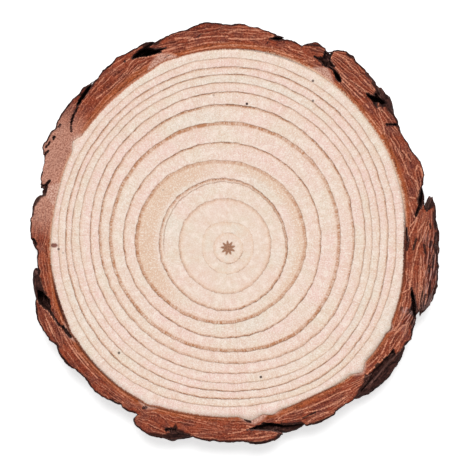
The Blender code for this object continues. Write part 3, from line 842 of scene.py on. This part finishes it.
def wood_face(level):
    """The points of one sawn face of the wood, row by row, with their attributes."""
    angle = np.arange(WOOD_ANGLES) * 360 / WOOD_ANGLES
    edge = periodic_curve(WOOD_RADII, angle) + JOIN_HEIGHT + rise(angle)
    curves = [0 * angle] + [periodic_curve(ring.radii, angle) for ring in RINGS] + [edge]
    darkness = [0 * angle] + [periodic_curve(ring.darkness, angle) for ring in RINGS] + [0 * angle]
    widths = [0.3] + [ring.width for ring in RINGS] + [0.3]
    points = []
    marks = {label: [] for label in WOOD_CENTRE}
    cream = periodic_curve(CREAM_HEIGHTS, angle)
    join = periodic_curve(JOIN_DARKNESS, angle)
    for age in ring_rows():
        inner = min(int(age), len(RINGS))
        share = age - inner
        radius = curves[inner] * (1 - share) + curves[inner + 1] * share
        points.append(from_pith(angle, radius, np.full_like(radius, level)))
        marks["age"].append(np.full_like(radius, age))
        marks["spacing"].append(curves[inner + 1] - curves[inner])
        marks["margin"].append(edge - radius)
        marks["cream"].append(cream)
        marks["join"].append(join)
        marks["darkness"].append(darkness[inner] * (1 - share) + darkness[inner + 1] * share)
        width = widths[inner] * (1 - share) + widths[inner + 1] * share
        marks["width"].append(np.full_like(radius, width))
    return np.concatenate(points), {label: np.concatenate(rows) for label, rows in marks.items()}


def wood_piece():
    """The wood, with rows of points that follow its growth rings on both faces."""
    upper, upper_marks = wood_face(THICKNESS)
    lower, lower_marks = wood_face(0)
    rows = len(ring_rows())
    count = rows * WOOD_ANGLES
    index = np.arange(count).reshape(rows, WOOD_ANGLES)
    after = np.roll(index, -1, axis=1)
    top = np.stack([index[:-1], index[1:], after[1:], after[:-1]], axis=2).reshape(-1, 4)
    base = top[:, ::-1] + count
    rim = np.stack([index[-1], index[-1] + count, after[-1] + count, after[-1]], axis=1)
    centres = np.array([[*PITH, THICKNESS], [*PITH, 0]])
    first, second = 2 * count, 2 * count + 1
    cap = [(first, a, b) for a, b in zip(index[0], after[0])]
    cap += [(second, b + count, a + count) for a, b in zip(index[0], after[0])]
    marks = {}
    for label, centre in WOOD_CENTRE.items():
        marks[label] = np.concatenate([upper_marks[label], lower_marks[label], [centre, centre]])
    faces = top.tolist() + base.tolist() + rim.tolist() + cap
    piece = make_piece("wood_surface", np.concatenate([upper, lower, centres]), faces, marks)
    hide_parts("wood")
    return piece


def linear(red, green, blue):
    """A colour as the screen shows it, from 0 to 255, turned into light."""
    channels = []
    for value in (red, green, blue):
        share = value / 255
        channels.append(share / 12.92 if share <= 0.04045 else ((share + 0.055) / 1.055) ** 2.4)
    return (*channels, 1.0)


class Graph:
    """A material's nodes. Most methods add one node and return its output."""

    def __init__(self, name):
        self.material = bpy.data.materials.new(name)
        self.material.use_nodes = True
        self.nodes = self.material.node_tree.nodes
        self.links = self.material.node_tree.links
        self.shader = self.nodes["Principled BSDF"]

    def feed(self, socket, value):
        """Links an output to a socket, or sets the socket to a plain value."""
        if isinstance(value, bpy.types.NodeSocket):
            self.links.new(value, socket)
        else:
            socket.default_value = value

    def attribute(self, name):
        node = self.nodes.new("ShaderNodeAttribute")
        node.attribute_name = name
        return node.outputs["Fac"]

    def math(self, operation, first, second=0.0, third=0.0):
        node = self.nodes.new("ShaderNodeMath")
        node.operation = operation
        for socket, value in zip(node.inputs, (first, second, third)):
            self.feed(socket, value)
        return node.outputs[0]

    def product(self, first, *others):
        for other in others:
            first = self.math("MULTIPLY", first, other)
        return first

    def scaled(self, value, factor, added):
        """A value times a factor, and another value added."""
        return self.math("MULTIPLY_ADD", value, factor, added)

    def moved(self, noise, reach, value):
        """A value made ragged by noise, by about the reach."""
        return self.scaled(self.math("SUBTRACT", noise, 0.5), reach * 2, value)

    def vector(self, operation, first, second=(0, 0, 0)):
        node = self.nodes.new("ShaderNodeVectorMath")
        node.operation = operation
        self.feed(node.inputs[0], first)
        if operation == "SCALE":
            self.feed(node.inputs["Scale"], second)
        else:
            self.feed(node.inputs[1], second)
        return node.outputs["Value" if operation in ("LENGTH", "DISTANCE") else "Vector"]

    def step(self, value, low, high, start=0.0, end=1.0):
        """A smooth rise or fall from start to end while value goes from low to high."""
        node = self.nodes.new("ShaderNodeMapRange")
        node.interpolation_type = "SMOOTHSTEP"
        for socket, item in zip(node.inputs, (value, low, high, start, end)):
            self.feed(socket, item)
        return node.outputs[0]

    def fall(self, value, low, high):
        """A smooth fall from 1 to 0 while value goes from low to high."""
        return self.step(value, low, high, 1.0, 0.0)

    def noise(self, place, scale, detail=2.0, roughness=0.5):
        node = self.nodes.new("ShaderNodeTexNoise")
        self.feed(node.inputs["Vector"], place)
        node.inputs["Scale"].default_value = scale
        node.inputs["Detail"].default_value = detail
        node.inputs["Roughness"].default_value = roughness
        return node.outputs["Fac"]

    def mix(self, share, first, second, blend="MIX"):
        node = self.nodes.new("ShaderNodeMix")
        node.data_type = "RGBA"
        node.blend_type = blend
        node.clamp_factor = True
        self.feed(node.inputs[0], share)
        self.feed(node.inputs[6], first)
        self.feed(node.inputs[7], second)
        return node.outputs[2]

    def tint(self, colour, share, shown):
        """A colour mixed with another, given as the screen shows it."""
        return self.mix(share, colour, linear(*shown))

    def between(self, value, low, high, first, second):
        """From one colour to another, as the screen shows them, while value goes from low to high."""
        return self.mix(self.step(value, low, high), linear(*first), linear(*second))

    def tints(self, colour, rows):
        """A colour mixed with others in turn, from none at low to the most at high of each value."""
        for value, low, high, most, shown in rows:
            colour = self.tint(colour, self.step(value, low, high, 0.0, most), shown)
        return colour

    def ramp(self, value, stops):
        node = self.nodes.new("ShaderNodeValToRGB")
        elements = node.color_ramp.elements
        while len(elements) < len(stops):
            elements.new(0.5)
        for element, (place, colour) in zip(elements, stops):
            element.position = place
            element.color = colour
        self.feed(node.inputs[0], value)
        return node.outputs[0]

    def place(self):
        """A point's place in millimetres."""
        node = self.nodes.new("ShaderNodeTexCoord")
        return self.vector("SCALE", node.outputs["Object"], 1 / MM)

    def split(self, vector):
        node = self.nodes.new("ShaderNodeSeparateXYZ")
        self.feed(node.inputs[0], vector)
        return node.outputs[0], node.outputs[1], node.outputs[2]

    def join(self, x, y, z):
        node = self.nodes.new("ShaderNodeCombineXYZ")
        for socket, value in zip(node.inputs, (x, y, z)):
            self.feed(socket, value)
        return node.outputs[0]

    def space(self, way, across, other, along):
        """Coordinates for a noise that is so fine across the rays, and so fine along the other."""
        return self.join(
            self.product(way[0], across),
            self.product(way[1], across),
            self.product(other, along),
        )

    def bump(self, height, strength, distance):
        node = self.nodes.new("ShaderNodeBump")
        node.inputs["Strength"].default_value = strength
        node.inputs["Distance"].default_value = distance * MM
        self.feed(node.inputs["Height"], height)
        self.feed(self.shader.inputs["Normal"], node.outputs[0])

    def finish(self, colour, roughness, specular):
        self.feed(self.shader.inputs["Base Color"], colour)
        self.feed(self.shader.inputs["Roughness"], roughness)
        self.shader.inputs["Specular IOR Level"].default_value = specular
        return self.material


def wood_material():
    """Pale end grain: growth rings, rays, a tan band, the pith and a few dots of resin."""
    graph = Graph("pine_end_grain")
    place = graph.place()
    x, y, z = graph.split(graph.vector("SUBTRACT", place, (*PITH, 0)))
    flat = graph.join(x, y, 0.0)
    radius = graph.vector("LENGTH", flat)
    way = graph.split(graph.vector("NORMALIZE", flat))
    way_x, way_y, _ = way
    product = graph.product

    # Where a point lies between two rings
    spacing = graph.attribute("spacing")
    width = graph.attribute("width")
    strokes = graph.noise(graph.space(way, 85, radius, 0.9), 1.0, 2.0, 0.6)
    fuzz = graph.math("SUBTRACT", strokes, 0.5)
    wander = graph.noise(graph.space(way, 9, radius, 0.25), 1.0, 2.0)
    wander = graph.math("SUBTRACT", wander, 0.5)
    shift = graph.scaled(wander, 0.8, graph.math("MULTIPLY", fuzz, 0.35))
    age = graph.math("ADD", graph.attribute("age"), graph.math("DIVIDE", shift, spacing))
    share = graph.math("FRACT", age)
    before = product(graph.math("SUBTRACT", 1.0, share), spacing)
    after = product(share, spacing)

    # The colour between the rings
    cream = linear(238, 220, 200)
    pink = linear(245, 210, 199)
    patches = graph.step(graph.noise(place, 0.16, 3.0, 0.6), 0.36, 0.62)
    year = graph.math("FLOOR", graph.attribute("age"))
    yearly = graph.noise(graph.space(way, 1.3, year, 2.7), 1.0, 1.0)
    patches = graph.mix(0.5, patches, graph.step(yearly, 0.4, 0.6))
    patches = product(patches, graph.step(radius, 4.0, 22.0, 0.45, 1.0))
    blotches = graph.noise(place, 0.6, 3.0, 0.65)
    colour = graph.tints(graph.mix(patches, cream, pink), (
        (yearly, 0.42, 0.3, 0.6, (236, 224, 210)),
        (blotches, 0.5, 0.66, 0.75, (253, 234, 220)),
        (blotches, 0.5, 0.32, 0.5, (236, 204, 180)),
    ))
    leftward = graph.scaled(way_y, 0.3, product(way_x, -0.95))
    rightward = graph.scaled(way_y, 0.3, product(way_x, 0.95))
    left_band = product(graph.step(leftward, 0.3, 0.75), graph.step(age, 4.03, 4.3))
    right_band = product(graph.step(rightward, 0.1, 0.75, 0.0, 0.8), graph.step(age, 4.3, 4.6))
    band = graph.math("MAXIMUM", left_band, right_band)
    band = product(band, graph.fall(age, 4.98, 5.02))
    band = product(band, graph.step(blotches, 0.3, 0.6, 0.75, 1.0))
    colour = graph.tint(colour, band, (232, 197, 170))
    late = graph.step(before, 0.0, graph.scaled(width, 2.2, 0.5), 0.5, 0.0)
    colour = graph.tint(colour, late, (238, 200, 170))

    # Fine grain
    rays = graph.noise(graph.space(way, 130, radius, 0.06), 1.0, 2.0, 0.7)
    colour = graph.tints(colour, (
        (rays, 0.5, 0.8, 0.5, (214, 176, 154)),
        (rays, 0.5, 0.2, 0.35, (254, 238, 226)),
    ))
    speck = graph.noise(place, 2.6, 3.0, 0.8)
    grainy = graph.step(radius, 8.0, 20.0, 0.5, 1.0)
    dark_specks = product(graph.step(speck, 0.48, 0.72, 0.0, 0.5), grainy)
    colour = graph.tint(colour, dark_specks, (210, 172, 152))
    pale_specks = product(graph.step(speck, 0.52, 0.3, 0.0, 0.85), grainy)
    colour = graph.tint(colour, pale_specks, (255, 248, 238))

    # The rings: a wide brush of strokes up to each line, and the line itself
    darkness = graph.attribute("darkness")
    broken = graph.noise(graph.space(way, 2.2, radius, 0.4), 1.0, 2.0)
    near_pith = graph.step(age, 2.4, 3.0, 0.0, 1.0)
    broken = graph.math("MAXIMUM", graph.step(broken, 0.42, 0.56, 0.1, 1.2), near_pith)
    patchy = graph.step(graph.noise(graph.space(way, 20, radius, 0.3), 1.0, 3.0), 0.3, 0.66, 0.6, 1.2)
    darkness = product(darkness, broken, patchy)
    ragged = graph.scaled(fuzz, 1.3, before)
    brush = graph.fall(ragged, product(width, 0.55), product(width, 1.1))
    brush = product(brush, darkness, graph.step(strokes, 0.38, 0.58, 0.45, 1.3))
    colour = graph.tint(colour, product(brush, 0.8), (192, 134, 98))
    outward = graph.fall(before, 0.06, 0.27)
    inward = graph.fall(after, 0.03, 0.2)
    line = graph.math("MAXIMUM", outward, inward)
    line = product(line, darkness, graph.step(width, 0.5, 1.3, 0.9, 0.6))
    colour = graph.tint(colour, product(line, 0.8), (128, 90, 70))
    twin_gap = graph.scaled(way_x, -0.32, 0.9)
    twin = graph.math("ABSOLUTE", graph.math("SUBTRACT", before, twin_gap))
    twin = product(graph.fall(twin, 0.05, 0.24), graph.step(way_y, -0.15, 0.1))
    fourth = product(graph.math("GREATER_THAN", age, 3.0), graph.math("LESS_THAN", age, 4.0))
    twin = product(twin, fourth, patchy, 0.5)
    colour = graph.tint(colour, twin, (150, 108, 84))

    # The pith, a blot with short points, and dots of resin
    turn = graph.math("ARCTAN2", y, x)
    points = graph.math("ABSOLUTE", graph.math("SINE", graph.scaled(turn, 4.5, 0.4)))
    reach = graph.scaled(graph.math("POWER", points, 2.0), 0.8, 1.2)
    reach = graph.scaled(fuzz, 0.8, reach)
    pith = graph.step(graph.math("SUBTRACT", radius, reach), -0.25, 0.2, 0.95, 0.0)
    pith_colour = graph.between(speck, 0.35, 0.65, (144, 96, 72), (178, 130, 102))
    colour = graph.mix(pith, colour, pith_colour)
    for spot_x, spot_y, size, strength in RESIN:
        away = graph.vector("DISTANCE", flat, (spot_x, spot_y, 0.0))
        dot = graph.step(away, size * 0.6, size * 1.1, strength, 0.0)
        colour = graph.tint(colour, dot, (58, 32, 27))

    # The bark's colours begin here and there before the join
    cream_edge = graph.math("ADD", graph.attribute("margin"), graph.attribute("cream"))
    cream_edge = graph.scaled(fuzz, 0.6, cream_edge)
    bark_tint = graph.between(speck, 0.4, 0.6, (206, 132, 98), (168, 88, 56))
    colour = graph.mix(graph.step(cream_edge, -0.12, 0.3, 0.95, 0.0), colour, bark_tint)
    join = graph.attribute("join")
    joined = graph.scaled(join, -0.4, graph.attribute("margin"))
    joined = graph.fall(graph.scaled(fuzz, 0.6, joined), 0.05, 0.3)
    joined = product(joined, join, graph.step(speck, 0.3, 0.55, 0.5, 1.0))
    colour = graph.tint(colour, joined, (84, 40, 30))
    knot = graph.vector("MULTIPLY", graph.vector("SUBTRACT", flat, KNOT), (0.7, 1.1, 1.0))
    knot = graph.scaled(speck, 0.6, graph.vector("LENGTH", knot))
    colour = graph.tint(colour, graph.step(knot, 0.75, 1.15, 0.9, 0.0), (122, 62, 48))

    relief = graph.scaled(brush, 0.6, product(speck, -0.5))
    graph.bump(relief, 0.35, 0.05)
    return graph.finish(colour, 0.75, 0.1)


def bark_material():
    """Bark: red-brown with pale seams where it was sawn, and dark and crusty elsewhere."""
    graph = Graph("pine_bark")
    place = graph.place()
    x, y, _ = graph.split(graph.vector("SUBTRACT", place, (*PITH, 0)))
    way = graph.split(graph.vector("NORMALIZE", graph.join(x, y, 0.0)))
    product = graph.product
    moved = graph.moved
    layer = graph.attribute("layer")
    spacing = graph.attribute("spacing")
    pinkness = graph.attribute("pink")
    rim = graph.attribute("rim")

    fine = graph.noise(place, 2.6, 4.0, 0.75)
    broad = graph.noise(place, 0.35, 3.0, 0.6)
    streak = graph.noise(graph.space(way, 14, layer, 1.4), 1.0, 4.0, 0.7)
    tick = graph.noise(graph.space(way, 150, layer, 0.6), 1.0, 2.0, 0.6)

    # Seams follow the layers of each plate, and are boldest along its bed
    wavy = moved(graph.noise(place, 0.4, 3.0, 0.5), 0.9, layer)
    whole = graph.math("ROUND", wavy)
    past = product(graph.math("SUBTRACT", wavy, whole), spacing)
    seam = graph.fall(graph.math("ABSOLUTE", past), 0.02, 0.15)
    shade = product(graph.step(past, 0.1, 0.3), graph.fall(past, 0.3, 0.6))
    course = graph.noise(graph.space(way, 7.0, whole, 3.7), 1.0, 1.0)
    lively = graph.step(course, 0.38, 0.6, 0.0, 1.0)
    lively = product(lively, graph.step(spacing, 0.2, 0.5))
    bed = graph.attribute("bed")
    bold = graph.math("MINIMUM", bed, graph.attribute("lid"))
    bold = product(graph.fall(bold, 0.03, 0.24), graph.step(broad, 0.4, 0.6, 0.2, 0.8))
    traced = moved(graph.noise(place, 1.3, 3.0, 0.7), 0.22, graph.attribute("seam"))
    traced = graph.fall(traced, 0.06, 0.25)
    seam = graph.math("MAXIMUM", product(seam, lively, 0.75), bold)
    seam = graph.math("MAXIMUM", seam, traced)
    seam = product(seam, graph.step(fine, 0.62, 0.42, 0.55, 1.0))

    # The red-brown of the sawn face, orange next to the wood
    warm = moved(streak, 1.1, graph.attribute("warm"))
    colour = graph.mix(graph.attribute("tone"), linear(146, 68, 46), linear(112, 52, 42))
    colour = graph.tints(colour, (
        (broad, 0.46, 0.6, 0.5, (164, 70, 44)),
        (broad, 0.5, 0.36, 0.5, (122, 66, 62)),
        (warm, -0.6, 0.6, 0.85, (184, 96, 52)),
        (streak, 0.48, 0.66, 0.75, (76, 32, 26)),
        (streak, 0.5, 0.32, 0.5, (190, 106, 74)),
    ))
    colour = graph.tint(colour, product(shade, lively, 0.5), (70, 28, 22))
    colour = graph.tints(colour, (
        (fine, 0.5, 0.7, 0.7, (66, 28, 24)),
        (fine, 0.49, 0.3, 0.65, (224, 140, 108)),
        (tick, 0.5, 0.7, 0.4, (84, 36, 28)),
    ))

    # The fuzzy pink stretch, the pale seams and tissue, and the soft join with the wood
    pink = graph.between(fine, 0.35, 0.65, (228, 172, 150), (154, 98, 82))
    pink = graph.mix(graph.step(warm, -0.4, 0.8, 0.0, 0.6), pink, linear(206, 140, 108))
    colour = graph.mix(product(pinkness, 0.85), colour, pink)
    shown = graph.scaled(pinkness, -0.6, 0.85)
    colour = graph.tint(colour, product(seam, shown), (238, 164, 132))
    pale = graph.between(fine, 0.4, 0.62, (232, 190, 172), (172, 112, 92))
    tissue = graph.step(moved(fine, 0.9, graph.attribute("tissue")), -0.3, 0.7, 0.0, 0.85)
    colour = graph.mix(tissue, colour, pale)
    cream = graph.step(moved(tick, 0.8, graph.attribute("cream")), -0.35, 0.3, 0.0, 0.9)
    colour = graph.tint(colour, cream, (236, 194, 164))
    joined = graph.fall(moved(fine, 0.2, graph.attribute("height")), 0.2, 0.45)
    colour = graph.tint(colour, product(joined, graph.attribute("join")), (104, 44, 32))

    # Crumbly streaks and dark crust towards the rim
    dull = graph.attribute("dull")
    crumbly = product(dull, graph.fall(moved(streak, 1.2, rim), 2.6, 4.6))
    flake = graph.noise(graph.space(way, 11, layer, 2.4), 1.0, 3.0, 0.6)
    colour = graph.tint(colour, product(crumbly, graph.step(flake, 0.49, 0.56, 0.0, 0.85)), (50, 30, 30))
    colour = graph.tint(colour, product(crumbly, graph.step(flake, 0.46, 0.38, 0.0, 0.8)), (196, 150, 140))
    # Dark stains, and the painted shadow along the rim at the bottom
    stain_and_shadow = graph.step(moved(fine, 0.6, graph.attribute("stain_and_shadow")), -0.4, 0.3, 0.0, 0.9)
    colour = graph.tint(colour, product(stain_and_shadow, graph.step(seam, 0.3, 0.8, 1.0, 0.45)), (44, 26, 25))
    crust_depth = graph.attribute("crust")
    ragged = moved(fine, 0.6, moved(streak, 0.8, rim))
    dark = graph.step(ragged, product(crust_depth, 0.5), crust_depth, 0.92, 0.0)
    dark_colour = graph.between(fine, 0.45, 0.28, (38, 22, 20), (116, 86, 80))
    flecks = product(dull, graph.step(flake, 0.47, 0.4, 0.0, 0.75))
    dark_colour = graph.mix(flecks, dark_colour, linear(168, 134, 128))
    colour = graph.mix(dark, colour, dark_colour)
    lip = moved(fine, 0.3, graph.attribute("inside"))
    lip = graph.step(lip, -0.3, 0.1, 0.7, 0.0)
    colour = graph.tint(colour, product(lip, graph.step(broad, 0.44, 0.58, 0.1, 0.9)), (58, 32, 28))

    # Everything that the saw didn't cut
    flakes = graph.noise(place, 0.9, 6.0, 0.7)
    crust = graph.ramp(graph.mix(0.5, flakes, streak), (
        (0.36, linear(24, 15, 14)),
        (0.47, linear(48, 29, 27)),
        (0.57, linear(84, 52, 46)),
        (0.7, linear(138, 102, 92)),
    ))
    crust = graph.mix(graph.step(bed, 0.05, 0.3, 0.45, 0.0), crust, linear(168, 122, 112))
    sawn = graph.step(graph.attribute("sawn"), 0.3, 0.7)
    colour = graph.mix(sawn, crust, colour)
    relief = graph.scaled(fine, 0.4, flakes)
    graph.bump(relief, 0.5, 0.25)
    return graph.finish(colour, 0.9, 0.06)


def add_camera():
    """A camera straight above the slice, framed as the photograph is."""
    data = bpy.data.cameras.new("camera")
    data.lens = 150.0
    data.sensor_width = 36.0
    above = VIEW_WIDTH / data.sensor_width * data.lens
    camera = bpy.data.objects.new("camera", data)
    camera.location = (VIEW_CENTRE[0] * MM, VIEW_CENTRE[1] * MM, (THICKNESS + above) * MM)
    bpy.context.scene.collection.objects.link(camera)
    bpy.context.scene.camera = camera


def add_floor():
    """A white floor, large enough for any view."""
    half = 3.0
    mesh = bpy.data.meshes.new("floor")
    corners = [(-half, -half, 0), (half, -half, 0), (half, half, 0), (-half, half, 0)]
    mesh.from_pydata(corners, [], [(0, 1, 2, 3)])
    floor = bpy.data.objects.new("floor", mesh)
    bpy.context.scene.collection.objects.link(floor)
    graph = Graph("white_floor")
    graph.shader.inputs["Emission Color"].default_value = (1, 1, 1, 1)
    graph.shader.inputs["Emission Strength"].default_value = 0.52
    mesh.materials.append(graph.finish((0.9, 0.9, 0.9, 1), 0.9, 0.1))


def add_lights():
    """Soft white light from all round, and a broad key light from above the far edge."""
    world = bpy.data.worlds.new("world")
    world.use_nodes = True
    background = world.node_tree.nodes["Background"]
    background.inputs["Color"].default_value = (1, 1, 1, 1)
    background.inputs["Strength"].default_value = 0.42
    bpy.context.scene.world = world
    data = bpy.data.lights.new("key", "SUN")
    data.energy = 1.9
    data.angle = math.radians(24)
    key = bpy.data.objects.new("key", data)
    key.rotation_euler = (math.radians(-24), 0, 0)
    bpy.context.scene.collection.objects.link(key)


def main():
    bpy.context.scene.view_settings.view_transform = "Standard"
    add_camera()
    add_lights()
    add_floor()
    wood = wood_piece()
    wood.data.materials.append(wood_material())
    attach(wood, "root")
    bark = bark_piece()
    bark.data.materials.append(bark_material())
    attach(bark, "root")


main()
